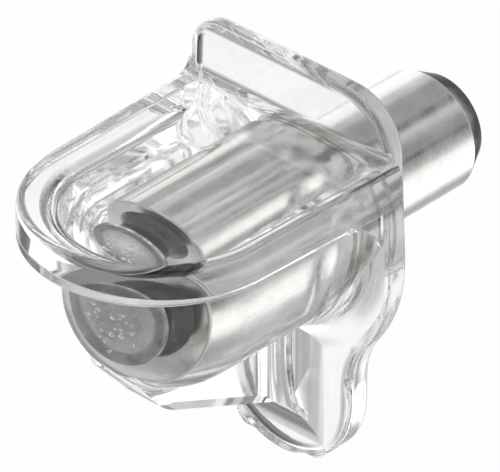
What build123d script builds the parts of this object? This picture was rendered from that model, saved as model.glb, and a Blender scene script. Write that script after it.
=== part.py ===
"""Clear moulded shelf bracket on a 5 mm plated steel pin.

Millimetres. The pin axis is the Y axis and points into the cabinet side.
The wall face of the flange is the plane y = 0, so the origin is where the
pin enters the cabinet side. Z is up and the shelf lies on the plate.
"""
from build123d import *
import math
import os

os.makedirs("parts", exist_ok=True)

# pin
pin_r = 2.5
pin_out = 7.85          # standing out of the wall face
tip_chamfer_len = 1.0
tip_chamfer_r = 0.55
shank_front = 8.32      # shoulder, in front of the wall face
head_front = 9.72
head_r = 1.85
head_rim = 0.2
neck_r = 1.3
neck_foot_r = 1.7
edge_break = 0.08
groove_len = 0.7        # locking groove just inside the flange's back
groove_depth = 0.2

# flange and foot: one wall, thinner above the plate
wall_t = 1.35
lip_t = 0.95
wall_edge_r = 0.36       # front and back edges
flange_top = 6.64
flange_half_w = 5.33
flange_top_half_w = 5.08
left_corner_r = 1.35
right_corner_r = 2.4
shoulder_z = -0.3
shoulder_r = 6.4
waist_r = 3.7
foot_half_w = 3.44
foot_straight = 0.9     # straight sides between the waist and the round end

# shelf plate, thicker towards the wall
plate_top = 4.2
plate_nose_t = 1.65
plate_wall_t = 2.0
plate_half_w = 5.14     # at the round nose
plate_wall_half_w = 5.26
plate_nose_y = -8.38
plate_edge_r = 0.35
plate_foot_r = 0.15     # round the plate's lower rim
heel_r = 0.5            # blend from the plate up to the flange

# hull round the pin
hull_r = 4.0
hull_nose_y = -7.62

# web under the hull
web_t = 1.5
web_bend_y = -8.55
web_bend_z = -5.02
web_bend_r = 2.6
web_slope = 0.42
web_heel_r = 2.2        # blend from the web's lower edge to the foot

# blends
arch_r = 1.8            # under the plate, against the flange
root_r = 1.5            # hull and web against the wall
under_r = 1.3           # web against the hull
cove_r = 0.8            # hull against the plate's underside

# worked out
plate_bottom = plate_top - plate_wall_t
plate_nose_bottom = plate_top - plate_nose_t
plate_tip_y = plate_nose_y - plate_half_w
plate_back_y = -lip_t / 2    # inside the wall
seam_z = plate_top - plate_nose_t / 2    # where the wall changes thickness, inside the plate
wall_front = -wall_t
half_web = web_t / 2
overhang = min(plate_half_w, plate_wall_half_w) - hull_r
cove = min(cove_r, 0.9 * (overhang - plate_foot_r))    # the cove stays within the overhang
lap = 0.2               # how far a blend runs into what it blends

lean = math.atan2(flange_half_w - flange_top_half_w, flange_top - shoulder_z)
shoulder_x0 = flange_half_w - shoulder_r * math.cos(lean)
shoulder_z0 = shoulder_z - shoulder_r * math.sin(lean)
waist_x0 = foot_half_w + waist_r
waist_z0 = shoulder_z0 - math.sqrt((shoulder_r + waist_r) ** 2 - (waist_x0 - shoulder_x0) ** 2)
turn = math.atan2(shoulder_z0 - waist_z0, waist_x0 - shoulder_x0)
foot_center_z = waist_z0 - foot_straight

# the web's front edge is tangent to the round nose
to_bend = math.hypot(web_bend_y - hull_nose_y, web_bend_z)
aim = math.atan2(-web_bend_z, hull_nose_y - web_bend_y) + math.asin(hull_r / to_bend)
tangent = math.sqrt(to_bend ** 2 - hull_r ** 2)
web_nose_y = web_bend_y + tangent * math.cos(aim)
web_nose_z = web_bend_z + tangent * math.sin(aim)
web_heel_z = web_bend_z - web_slope * (wall_front - web_bend_y)
web_foot_z = web_heel_z - web_heel_r


def on_arc(x0, z0, r, angle):
    """Point at an angle on a circle."""
    return (x0 + r * math.cos(angle), z0 + r * math.sin(angle))


def hollow_corner(x, y, r, dx, dy):
    """Fill of a right-angled corner with a concave quarter round, lapped into both walls."""
    quarter = r * (1 - math.sqrt(0.5))
    with BuildSketch() as corner:
        with BuildLine():
            Polyline(
                (x, y + dy * r),
                (x - dx * lap, y + dy * r),
                (x - dx * lap, y - dy * lap),
                (x + dx * r, y - dy * lap),
                (x + dx * r, y),
            )
            ThreePointArc(
                (x + dx * r, y),
                (x + dx * quarter, y + dy * quarter),
                (x, y + dy * r),
            )
        make_face()
    return corner.sketch


with BuildPart() as steel_pin:
    with BuildSketch(Plane.XY):
        with BuildLine():
            Polyline(
                (0, -head_front),
                (head_r - edge_break, -head_front),
                (head_r, -head_front + edge_break),
                (head_r, -head_front + head_rim),
            )
            ThreePointArc(
                (head_r, -head_front + head_rim),
                (neck_r, -(head_front - head_rim + shank_front) / 2),
                (neck_foot_r, -shank_front),
            )
            Polyline(
                (neck_foot_r, -shank_front),
                (pin_r - edge_break, -shank_front),
                (pin_r, -shank_front + edge_break),
                (pin_r, -groove_len),
                (pin_r - groove_depth, -groove_len),
                (pin_r - groove_depth, 0),
                (pin_r, 0),
                (pin_r, pin_out - tip_chamfer_len),
                (pin_r - tip_chamfer_r, pin_out),
                (0, pin_out),
                (0, -head_front),
            )
        make_face()
    revolve(axis=Axis.Y)

with BuildSketch(Plane.XZ) as wall_outline:
    with BuildLine():
        Line((0, flange_top), (flange_top_half_w, flange_top))
        Line((flange_top_half_w, flange_top), (flange_half_w, shoulder_z))
        ThreePointArc(
            (flange_half_w, shoulder_z),
            on_arc(shoulder_x0, shoulder_z0, shoulder_r, (lean - turn) / 2),
            on_arc(shoulder_x0, shoulder_z0, shoulder_r, -turn),
        )
        ThreePointArc(
            on_arc(waist_x0, waist_z0, waist_r, math.pi - turn),
            on_arc(waist_x0, waist_z0, waist_r, math.pi - turn / 2),
            (foot_half_w, waist_z0),
        )
        Line((foot_half_w, waist_z0), (foot_half_w, foot_center_z))
        ThreePointArc(
            (foot_half_w, foot_center_z),
            on_arc(0, foot_center_z, foot_half_w, -math.pi / 4),
            (0, foot_center_z - foot_half_w),
        )
        Line((0, foot_center_z - foot_half_w), (0, flange_top))
    make_face()
    mirror(about=Plane.YZ)
    top_corners = wall_outline.vertices().group_by(Axis.Y)[-1].sort_by(Axis.X)
    fillet(top_corners[0], left_corner_r)
    top_corners = wall_outline.vertices().sort_by_distance((flange_top_half_w, flange_top, 0))
    fillet(top_corners[0], right_corner_r)

with BuildSketch(Plane.YZ) as web_outline:
    with BuildLine():
        Polyline(
            (web_nose_y, web_nose_z),
            (web_bend_y, web_bend_z),
            (wall_front, web_heel_z),
            (wall_front, web_foot_z),
            (wall_front + lap, web_foot_z),
            (wall_front + lap, 0),
            (hull_nose_y, 0),
            close=True,
        )
    make_face()
    bend = web_outline.vertices().sort_by_distance((web_bend_y, web_bend_z, 0))[0]
    fillet(bend, web_bend_r)
    heel = web_outline.vertices().sort_by_distance((wall_front, web_heel_z, 0))[0]
    fillet(heel, web_heel_r)

# the same outline in two thicknesses, which meet inside the plate
with BuildPart() as lower_wall:
    extrude(wall_outline.sketch, amount=wall_t, dir=(0, -1, 0))
    faces = lower_wall.faces().sort_by(Axis.Y)
    fillet(faces[0].edges() + faces[-1].edges(), wall_edge_r)
    split(bisect_by=Plane.XY.offset(seam_z), keep=Keep.BOTTOM)

with BuildPart() as lip:
    extrude(wall_outline.sketch, amount=lip_t, dir=(0, -1, 0))
    faces = lip.faces().sort_by(Axis.Y)
    fillet(faces[0].edges() + faces[-1].edges(), wall_edge_r)
    split(bisect_by=Plane.XY.offset(seam_z), keep=Keep.TOP)

with BuildPart() as plate:
    with BuildSketch(Plane.XY.offset(plate_bottom)):
        with BuildLine():
            Polyline(
                (plate_half_w, plate_nose_y),
                (plate_wall_half_w, plate_back_y),
                (-plate_wall_half_w, plate_back_y),
                (-plate_half_w, plate_nose_y),
            )
            ThreePointArc(
                (-plate_half_w, plate_nose_y),
                (0, plate_tip_y),
                (plate_half_w, plate_nose_y),
            )
        make_face()
    extrude(amount=plate_wall_t)
    with BuildSketch(Plane.YZ) as taper_cut:
        with BuildLine():
            Polyline(
                (plate_back_y, plate_bottom),
                (plate_tip_y, plate_nose_bottom),
                (plate_tip_y, plate_bottom - 1),
                (plate_back_y, plate_bottom - 1),
                close=True,
            )
        make_face()
    extrude(
        taper_cut.sketch, amount=plate_wall_half_w + 1, dir=(1, 0, 0), both=True, mode=Mode.SUBTRACT
    )
    back_edges = plate.edges().group_by(Axis.Y)[-1]
    top_rim = plate.faces().sort_by(Axis.Z)[-1].edges() - back_edges
    fillet(top_rim, plate_edge_r)
    lower_rim = [
        edge
        for edge in plate.edges()
        if edge.center().Z < plate_nose_bottom + 0.01 and edge.bounding_box().size.Y > 0.01
    ]
    fillet(lower_rim, plate_foot_r)

with BuildPart() as hull:
    with BuildSketch(Plane.XY):
        with Locations((0, (hull_nose_y - lap) / 2)):
            Rectangle(2 * hull_r, -hull_nose_y - lap)
        with Locations((0, hull_nose_y)):
            Circle(hull_r)
    extrude(amount=seam_z)
    with BuildSketch(Plane.XZ.offset(lap)):
        Circle(hull_r)
    extrude(amount=-hull_nose_y - lap)
    with Locations((0, hull_nose_y, 0)):
        Sphere(hull_r)
    split(bisect_by=Plane.XY.offset(seam_z), keep=Keep.BOTTOM)

# the cove that joins the hull to the plate's underside
with BuildPart() as cap:
    add(plate.part)
    add(hull.part)
    cove_edges = [
        edge
        for edge in cap.edges()
        if plate_bottom - 0.01 < edge.center().Z < plate_nose_bottom
        and max(abs(edge.position_at(t).X) for t in (0, 0.5, 1)) < hull_r + 0.01
        and edge.bounding_box().size.Y > 0.01
    ]
    fillet(cove_edges, cove)

with BuildPart() as web:
    extrude(web_outline.sketch, amount=half_web, dir=(1, 0, 0), both=True)

# blends against the wall, kept within the wall's outline
with BuildPart() as roots:
    with BuildSketch(Plane.XY):
        add(hollow_corner(hull_r, wall_front, root_r, 1, -1))
    revolve(axis=Axis.Y, revolution_arc=180)
    with BuildSketch(Plane.XY):
        add(hollow_corner(hull_r, wall_front, root_r, 1, -1))
        mirror(about=Plane.YZ)
    extrude(amount=seam_z)
    with BuildSketch(Plane.YZ):
        add(hollow_corner(wall_front, plate_bottom, arch_r, -1, -1))
    extrude(amount=plate_half_w, both=True)
    with BuildSketch(Plane.YZ):
        add(hollow_corner(-lip_t, plate_top, heel_r, -1, 1))
    extrude(amount=plate_half_w, both=True)
    extrude(
        wall_outline.sketch, amount=wall_t + arch_r + lap, dir=(0, -1, 0), mode=Mode.INTERSECT
    )

# blends of the web, kept within the web's outline seen from the side
under_x = half_web + under_r
under_z = -math.sqrt((hull_r + under_r) ** 2 - under_x ** 2)
touch = hull_r / (hull_r + under_r)
under_turn = math.atan2(-under_z, under_x)
under_mid = (math.pi + (math.pi - under_turn)) / 2

with BuildSketch(Plane.XZ.offset(-hull_nose_y)) as under_corner:
    with BuildLine():
        Polyline(
            (under_x * touch, under_z * touch),
            (under_x * touch * 0.9, under_z * touch * 0.9),
            (half_web - lap, under_z * touch * 0.9),
            (half_web - lap, under_z),
            (half_web, under_z),
        )
        ThreePointArc(
            (half_web, under_z),
            on_arc(under_x, under_z, under_r, under_mid),
            (under_x * touch, under_z * touch),
        )
    make_face()
    mirror(about=Plane.YZ)

with BuildPart() as fins:
    extrude(under_corner.sketch, amount=-hull_nose_y + wall_front + lap, dir=(0, 1, 0))
    revolve(under_corner.sketch, axis=Axis((0, hull_nose_y, 0), (1, 0, 0)), revolution_arc=-90)
    with BuildSketch(Plane.XY.offset(web_foot_z)):
        add(hollow_corner(half_web, wall_front, root_r, 1, -1))
        mirror(about=Plane.YZ)
    extrude(amount=-web_foot_z - hull_r + lap)
    extrude(web_outline.sketch, amount=hull_r, dir=(1, 0, 0), both=True, mode=Mode.INTERSECT)
    extrude(
        wall_outline.sketch, amount=-web_nose_y + lap, dir=(0, -1, 0), mode=Mode.INTERSECT
    )

with BuildPart() as clear_body:
    for piece in (lower_wall, lip, cap, web, roots, fins):
        add(piece.part)
    add(steel_pin.part, mode=Mode.SUBTRACT)

clear_body.part.label = "clear_body"
steel_pin.part.label = "steel_pin"
export_step(clear_body.part, "parts/clear_body.step")
export_step(steel_pin.part, "parts/steel_pin.step")
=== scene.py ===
import bpy
import math
import random
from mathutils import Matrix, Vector


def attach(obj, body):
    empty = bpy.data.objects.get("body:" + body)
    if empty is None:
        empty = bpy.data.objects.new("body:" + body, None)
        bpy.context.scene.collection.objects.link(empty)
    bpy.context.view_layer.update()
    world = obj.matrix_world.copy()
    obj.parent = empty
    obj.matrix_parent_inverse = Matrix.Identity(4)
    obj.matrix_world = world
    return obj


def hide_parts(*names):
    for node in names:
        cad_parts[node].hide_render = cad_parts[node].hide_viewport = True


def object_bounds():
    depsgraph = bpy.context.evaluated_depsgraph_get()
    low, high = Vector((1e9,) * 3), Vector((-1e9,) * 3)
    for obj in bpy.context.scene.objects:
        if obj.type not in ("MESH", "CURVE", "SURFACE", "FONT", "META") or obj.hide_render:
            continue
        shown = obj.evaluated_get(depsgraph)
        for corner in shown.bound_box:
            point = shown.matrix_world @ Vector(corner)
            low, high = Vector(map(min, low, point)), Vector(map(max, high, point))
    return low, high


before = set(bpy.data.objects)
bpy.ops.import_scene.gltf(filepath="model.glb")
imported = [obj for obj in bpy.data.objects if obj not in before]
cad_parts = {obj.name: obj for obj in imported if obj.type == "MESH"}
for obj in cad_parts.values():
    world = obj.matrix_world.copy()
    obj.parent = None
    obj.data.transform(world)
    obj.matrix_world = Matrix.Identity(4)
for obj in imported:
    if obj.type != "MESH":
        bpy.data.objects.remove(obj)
cad_low, cad_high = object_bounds()

MM = 0.001

# the pin's sizes in millimetres, as in the solids
PIN_R = 2.5
PIN_OUT = 7.85
TIP_LEN, TIP_STEP = 1.0, 0.55
SHANK_FRONT, HEAD_FRONT = 8.32, 9.72
HEAD_R, HEAD_RIM, NECK_R, NECK_FOOT_R = 1.85, 0.2, 1.3, 1.7
GROOVE_LEN, GROOVE_DEPTH = 0.7, 0.2

FOOT_END = cad_low.z / MM
NEAR = 0.01              # counts as the same place, in millimetres

# air caught in the plastic in front of the head
BUBBLE_TRIES = 34
BUBBLE_RADII = (0.035, 0.045, 0.06, 0.09)
BUBBLE_REACH = 1.25
BUBBLE_MIDDLE = (-0.25, -0.35)
BUBBLE_GAP = 0.02

# the camera's view, solved from the outlines in the photograph
TOWARD_CAMERA = Vector((0.5705, -0.616, 0.543)).normalized()
AIM_POINT = Vector((0.0, -3.056, -0.126)) * MM
CAMERA_DISTANCE = 0.5
PICTURE_WIDTH, PIXELS_PER_MM = 500, 26.5
SENSOR_WIDTH = 36.0

# the studio: direction, half angle and soft edge in degrees, and what it adds to the light
STUDIO = (
    # bright panels: low on the right, on the left, behind, and low behind
    ((0.567, 0.616, -0.547), 16, 12, 0.65),
    ((-0.771, 0.616, 0.164), 13, 10, 0.65),
    ((-0.57, 0.616, -0.543), 14, 16, 0.1),
    ((0.3, 0.75, -0.58), 12, 12, 0.3),
    # dark places: above, with an edge of its own, and on the right, with another
    ((-0.027, 0.616, 0.787), 20, 8, -0.38),
    ((0.257, 0.616, 0.745), 3, 2, -0.35),
    ((0.74, 0.616, 0.27), 7, 20, -0.42),
    ((0.765, 0.616, 0.19), 3, 2, -0.35),
    # behind, which the tip's chamfer mirrors, and low on the left and below
    ((-0.31, 0.9, -0.3), 17, 10, -0.84),
    ((-0.72, 0.25, -0.65), 12, 12, -0.5),
    ((-0.33, 0.32, -0.89), 10, 14, -0.25),
    ((0.2, -0.35, -0.92), 14, 14, -0.3),
    ((-0.137, 0.616, -0.776), 9, 12, -0.35),
    # round the camera, and low in front
    ((0.57, -0.616, 0.543), 18, 14, -0.72),
    ((-0.57, -0.616, -0.543), 18, 22, -0.55),
)


# Shader nodes


class Value:
    """A socket that takes part in sums."""

    def __init__(self, tree, socket):
        self.tree, self.socket = tree, socket

    def math(self, operation, *values):
        return self.tree.node("ShaderNodeMath", {"operation": operation}, *values)

    def __add__(self, other):
        return self.math("ADD", self, other)

    __radd__ = __add__

    def __sub__(self, other):
        return self.math("SUBTRACT", self, other)

    def __rsub__(self, other):
        return self.math("SUBTRACT", other, self)

    def __mul__(self, other):
        return self.math("MULTIPLY", self, other)

    __rmul__ = __mul__

    def __pow__(self, other):
        return self.math("POWER", self, other)

    def __gt__(self, other):
        return self.math("GREATER_THAN", self, other)


class Tree:
    """The nodes of one material or world."""

    def __init__(self, owner):
        owner.use_nodes = True
        self.tree = owner.node_tree
        self.tree.nodes.clear()

    def node(self, kind, settings=None, *values, out=0, **named):
        """Adds a node. Inputs are given in order, or by name with _ for a space."""
        made = self.tree.nodes.new(kind)
        for key, value in (settings or {}).items():
            setattr(made, key, value)
        pairs = list(zip(made.inputs, values))
        pairs += [(made.inputs[key.replace("_", " ")], value) for key, value in named.items()]
        for socket, value in pairs:
            if isinstance(value, Value):
                self.tree.links.new(value.socket, socket)
            elif value is not None:
                socket.default_value = value
        return Value(self, made.outputs[out]) if made.outputs else made

    def smooth(self, value, low, high, to_low=0.0, to_high=1.0):
        settings = {"interpolation_type": "SMOOTHSTEP"}
        return self.node("ShaderNodeMapRange", settings, value, low, high, to_low, to_high)

    def mixed(self, share, one, two):
        """A colour between two others. The node keeps its colour sockets after five others."""
        settings = {"data_type": "RGBA"}
        return self.node("ShaderNodeMix", settings, share, *[None] * 5, one, two, out=2)

    def noise(self, where, scale, detail=2.0, rough=0.5):
        return self.node(
            "ShaderNodeTexNoise", None, Vector=where, Scale=scale, Detail=detail, Roughness=rough
        )

    def stretched(self, where, factors):
        return self.node("ShaderNodeVectorMath", {"operation": "MULTIPLY"}, where, factors)

    def split(self, vector):
        parts = self.node("ShaderNodeSeparateXYZ", None, vector)
        return [Value(self, socket) for socket in parts.socket.node.outputs]

    def rays(self, *names):
        outputs = self.node("ShaderNodeLightPath").socket.node.outputs
        return [Value(self, outputs[name]) for name in names]

    def object_place(self):
        return self.node("ShaderNodeTexCoord", None, out=3)


def material(name):
    made = bpy.data.materials.new(name)
    return made, Tree(made)


def clear_plastic():
    """Clear plastic with the faint unevenness of its flow into the mould."""
    made, t = material("clear_plastic")
    where = t.object_place()
    height = t.noise(where, 260.0) + t.noise(where, 1400.0) * 0.12
    body = t.node(
        "ShaderNodeBsdfPrincipled",
        None,
        Base_Color=(0.965, 0.975, 0.97, 1),
        Roughness=0.06,
        IOR=1.53,
        Transmission_Weight=1.0,
        Normal=t.node("ShaderNodeBump", None, Strength=1.0, Distance=0.000012, Height=height),
    )
    t.node("ShaderNodeOutputMaterial", None, Surface=body)
    return made


def plated_steel():
    """Bright plate with drawing lines along the shank and faint turning marks round it. The neck's
    recess is painted near-black as shade, and the head's end is rough and dull, as it was cut off."""
    made, t = material("plated_steel")
    where = t.object_place()
    across, along, up = t.split(where)
    radius = (across * across + up * up) ** 0.5

    drawn = t.noise(t.stretched(where, (1, 0.03, 1)), 5200.0, 3.0, 0.6)
    turned = t.noise(t.stretched(where, (0.06, 1, 0.06)), 9000.0, 3.0, 0.6)
    wear = t.noise(where, 1100.0, 4.0, 0.6)
    grit = t.noise(where, 6500.0, 3.0, 0.7)

    cut_end = 1 - t.smooth(along, -(HEAD_FRONT - 0.02) * MM, -(HEAD_FRONT - 0.1) * MM)
    behind_head = t.smooth(along, -(HEAD_FRONT - 0.4) * MM, -(HEAD_FRONT - 0.65) * MM)
    in_front = 1 - t.smooth(along, -(SHANK_FRONT + 0.01) * MM, -(SHANK_FRONT - 0.03) * MM)
    inside_foot = 1 - t.smooth(radius, NECK_FOOT_R * MM, (NECK_FOOT_R + 0.06) * MM)
    # painted shade: the recess of the neck, between the head and the shank's shoulder, is masked
    # here
    neck_painted_shade = behind_head * in_front * inside_foot

    plate = t.mixed(t.smooth(wear, 0.3, 0.7), (0.58, 0.575, 0.56, 1), (0.67, 0.665, 0.65, 1))
    sawn = t.mixed(t.smooth(wear, 0.35, 0.65), (0.22, 0.217, 0.21, 1), (0.42, 0.415, 0.4, 1))
    # the near-black colour is painted shade in the neck's recess, not the steel's own colour
    colour = t.mixed(neck_painted_shade, t.mixed(cut_end, plate, sawn), (0.06, 0.059, 0.057, 1))
    height = drawn + turned * 0.8 + wear * 1.6 + grit * (0.6 + cut_end * 9.4)
    body = t.node(
        "ShaderNodeBsdfPrincipled",
        None,
        Base_Color=colour,
        Metallic=1.0,
        Roughness=t.smooth(wear, 0.3, 0.7, 0.12, 0.22) + cut_end * 0.3,
        Normal=t.node("ShaderNodeBump", None, Strength=1.0, Distance=0.000003, Height=height),
    )
    t.node("ShaderNodeOutputMaterial", None, Surface=body)
    return made


def pale_floor():
    """White to the camera and a plain pale surface to soft light. Mirrors and glass look past it
    to the studio's white, which goes on below the horizon."""
    made, t = material("pale_floor")
    camera, glossy, through = t.rays("Is Camera Ray", "Is Glossy Ray", "Is Transmission Ray")
    plain = t.node("ShaderNodeBsdfDiffuse", None, (0.9, 0.9, 0.9, 1))
    glow = t.node("ShaderNodeEmission", None, (1, 1, 1, 1), 1.0)
    clear = t.node("ShaderNodeBsdfTransparent")
    seen = t.node("ShaderNodeMixShader", None, camera * 0.97, plain, glow)
    surface = t.node("ShaderNodeMixShader", None, (glossy + through) > 0.5, seen, clear)
    t.node("ShaderNodeOutputMaterial", None, Surface=surface)
    return made


# Shapes


def object_from(name, mesh):
    made = bpy.data.objects.new(name, mesh)
    bpy.context.scene.collection.objects.link(made)
    return made


def dress(made, surface, node):
    """Gives a piece its material and puts it in the place of a solid."""
    made.data.materials.append(surface)
    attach(made, "root")
    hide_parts(node)


def air_bubbles():
    """Small bubbles of air caught in the plastic in front of the pin's cut end."""
    pick = random.Random(5)
    found = []
    for _ in range(BUBBLE_TRIES):
        turn, reach = pick.uniform(0, 2 * math.pi), BUBBLE_REACH * math.sqrt(pick.random())
        radius = pick.choice(BUBBLE_RADII)
        depth = HEAD_FRONT + radius + pick.uniform(0.03, 0.5)
        x = reach * math.cos(turn) + BUBBLE_MIDDLE[0]
        z = reach * math.sin(turn) + BUBBLE_MIDDLE[1]
        place = Vector((x, -depth, z))
        if all((place - other).length > radius + size + BUBBLE_GAP for other, size in found):
            found.append((place, radius))
    return found


def bubble(centre, radius, rings=8, turns=12):
    """A little ball whose faces look inward, to the air."""
    spots, faces, normals = [], [], []
    for k in range(rings + 1):
        tilt = math.pi * k / rings
        for n in range(1 if k in (0, rings) else turns):
            turn = 2 * math.pi * n / turns
            flat = math.sin(tilt)
            spots.append(Vector((flat * math.cos(turn), flat * math.sin(turn), math.cos(tilt))))
    last = len(spots) - 1
    for n in range(turns):
        m = (n + 1) % turns
        faces.append((0, 1 + m, 1 + n))
        faces.append((last, last - turns + n, last - turns + m))
        for k in range(rings - 2):
            one, two = 1 + k * turns, 1 + (k + 1) * turns
            faces.append((one + n, one + m, two + m, two + n))
    for face in faces:
        normals += [tuple(-spots[i]) for i in face]
    return [tuple((centre + spot * radius) * MM) for spot in spots], faces, normals


def moulding():
    """The clear body's skin without the walls against the pin, so that the metal stands straight
    in the plastic, and with the air bubbles as hollows."""
    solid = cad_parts["clear_body"].data
    points = [v.co / MM for v in solid.vertices]
    kept, normals = [], []
    for face in solid.polygons:
        corners = [points[i] for i in face.vertices]
        middle = sum(corners, Vector()) / len(corners)
        along_pin = -HEAD_FRONT - NEAR < middle.y < -0.001
        if along_pin and all(math.hypot(p.x, p.z) < PIN_R + NEAR for p in corners):
            continue
        kept.append(tuple(face.vertices))
        normals += [tuple(solid.corner_normals[i].vector) for i in face.loop_indices]
    used = sorted({i for face in kept for i in face})
    place = {old: new for new, old in enumerate(used)}
    faces = [tuple(place[i] for i in face) for face in kept]
    corners = [tuple(points[i] * MM) for i in used]
    for centre, radius in air_bubbles():
        ball_points, ball_faces, ball_normals = bubble(centre, radius)
        faces += [tuple(i + len(corners) for i in face) for face in ball_faces]
        corners += ball_points
        normals += ball_normals
    mesh = bpy.data.meshes.new("moulding")
    mesh.from_pydata(corners, [], faces)
    mesh.polygons.foreach_set("use_smooth", [True] * len(mesh.polygons))
    mesh.normals_split_custom_set(normals)
    mesh.update()
    dress(object_from("moulding", mesh), clear_plastic(), "clear_body")


def lathe(name, profile, turns):
    """Turns a profile of (radius, along) points, in millimetres, about the pin's axis."""
    points, faces, rings = [], [], []
    for radius, along in profile:
        if radius < 1e-6:
            rings.append([len(points)])
            points.append((0, along * MM, 0))
            continue
        rings.append([len(points) + k for k in range(turns)])
        for k in range(turns):
            angle = 2 * math.pi * k / turns
            points.append((radius * MM * math.cos(angle), along * MM, radius * MM * math.sin(angle)))
    for near, far in zip(rings, rings[1:]):
        for k in range(turns):
            n = (k + 1) % turns
            if len(near) == 1:
                faces.append((near[0], far[k], far[n]))
            elif len(far) == 1:
                faces.append((near[k], far[0], near[n]))
            else:
                faces.append((near[k], far[k], far[n], near[n]))
    mesh = bpy.data.meshes.new(name)
    mesh.from_pydata(points, [], faces)
    mesh.polygons.foreach_set("use_smooth", [True] * len(mesh.polygons))
    mesh.set_sharp_from_angle(angle=math.radians(28))
    return object_from(name, mesh)


def rounded(points, radius, steps=4):
    """Breaks the corners of a profile: each point is (r, y) or (r, y, own radius)."""
    done = [points[0][:2]]
    for before, corner, after in zip(points, points[1:], points[2:]):
        own = corner[2] if len(corner) > 2 else radius
        here = Vector(corner[:2])
        one, two = (Vector(before[:2]) - here), (Vector(after[:2]) - here)
        if own <= 0:
            done.append(tuple(here))
            continue
        half = one.angle(two) / 2
        reach = own / math.tan(half)
        start, end = here + one.normalized() * reach, here + two.normalized() * reach
        centre = here + (one.normalized() + two.normalized()).normalized() * (own / math.sin(half))
        a, b = start - centre, end - centre
        turn = a.angle_signed(b)
        for k in range(steps + 1):
            angle = -turn * k / steps
            c, s = math.cos(angle), math.sin(angle)
            done.append((centre.x + a.x * c - a.y * s, centre.y + a.x * s + a.y * c))
    done.append(points[-1][:2])
    return done


def neck_curve(start, middle, end, steps=12):
    """Points of the curve through three places, without its ends."""
    curve = []
    for k in range(1, steps):
        t = k / steps
        a, b, c = (1 - t) * (1 - 2 * t), 4 * t * (1 - t), t * (2 * t - 1)
        curve.append((*(a * p + b * q + c * r for p, q, r in zip(start, middle, end)), 0))
    return curve


def turned_pin():
    """The pin from its head to its chamfered tip. The groove stops just short of the wall."""
    start = (HEAD_R, -HEAD_FRONT + HEAD_RIM)
    middle = (NECK_R, -(HEAD_FRONT - HEAD_RIM + SHANK_FRONT) / 2)
    end = (NECK_FOOT_R, -SHANK_FRONT)
    profile = [
        (0, -HEAD_FRONT + 0.1),
        (HEAD_R - 0.5, -HEAD_FRONT + 0.06, 0.03),
        (HEAD_R - 0.32, -HEAD_FRONT, 0.04),
        (HEAD_R, -HEAD_FRONT, 0.08),
        (*start, 0.03),
        *neck_curve(start, middle, end),
        (*end, 0.04),
        (PIN_R, -SHANK_FRONT, 0.1),
        (PIN_R, -GROOVE_LEN - 0.005, 0),
        (PIN_R - GROOVE_DEPTH, -GROOVE_LEN - 0.005, 0),
        (PIN_R - GROOVE_DEPTH, -0.005, 0),
        (PIN_R, -0.005, 0),
        (PIN_R, PIN_OUT - TIP_LEN, 0.12),
        (PIN_R - TIP_STEP, PIN_OUT, 0.06),
        (0, PIN_OUT),
    ]
    made = lathe("turned_pin", rounded(profile, 0.05), 180)
    dress(made, plated_steel(), "steel_pin")


# Floor, light and camera


def floor(half=3.0, gap=0.4):
    """A wide pale floor a little below the foot."""
    mesh = bpy.data.meshes.new("floor")
    corners = [(-half, -half, 0), (half, -half, 0), (half, half, 0), (-half, half, 0)]
    mesh.from_pydata(corners, [], [(0, 1, 2, 3)])
    made = object_from("floor", mesh)
    made.location.z = (FOOT_END - gap) * MM
    mesh.materials.append(pale_floor())


def studio():
    """A made-up room of bright panels and dark places. The camera itself sees plain white."""
    world = bpy.data.worlds.new("studio")
    bpy.context.scene.world = world
    t = Tree(world)
    way = t.node("ShaderNodeTexCoord")
    (camera,) = t.rays("Is Camera Ray")
    height = t.split(way)[2]

    def patch(direction, half_angle, soft):
        aim = tuple(Vector(direction).normalized())
        near = t.node("ShaderNodeVectorMath", {"operation": "DOT_PRODUCT"}, way, aim, out=1)
        inner, outer = (math.cos(math.radians(a)) for a in (half_angle, half_angle + soft))
        return t.smooth(near, outer, inner)

    light = t.smooth(height, -0.4, 0.4, 0.95, 0.86)
    for direction, half_angle, soft, amount in STUDIO:
        light = light + patch(direction, half_angle, soft) * amount
    light = light.math("MAXIMUM", light, 0.02)
    light = light * (1 - camera) + camera
    glow = t.node("ShaderNodeBackground", None, (1, 1, 1, 1), light)
    t.node("ShaderNodeOutputWorld", None, Surface=glow)


def camera():
    """A far camera with a long lens, near to a parallel view."""
    data = bpy.data.cameras.new("camera")
    data.sensor_width = SENSOR_WIDTH
    data.lens = SENSOR_WIDTH / PICTURE_WIDTH * PIXELS_PER_MM * CAMERA_DISTANCE / MM
    data.clip_start, data.clip_end = 0.01, 20.0
    made = bpy.data.objects.new("camera", data)
    bpy.context.scene.collection.objects.link(made)
    made.location = AIM_POINT + TOWARD_CAMERA * CAMERA_DISTANCE
    made.rotation_euler = TOWARD_CAMERA.to_track_quat("Z", "Y").to_euler()
    bpy.context.scene.camera = made


moulding()
turned_pin()
floor()
studio()
camera()

scene = bpy.context.scene
scene.view_settings.view_transform = "Standard"
# light is let through the thick clear moulding until it finds its way out
scene.cycles.max_bounces = 40
scene.cycles.glossy_bounces = 40
scene.cycles.transmission_bounces = 40
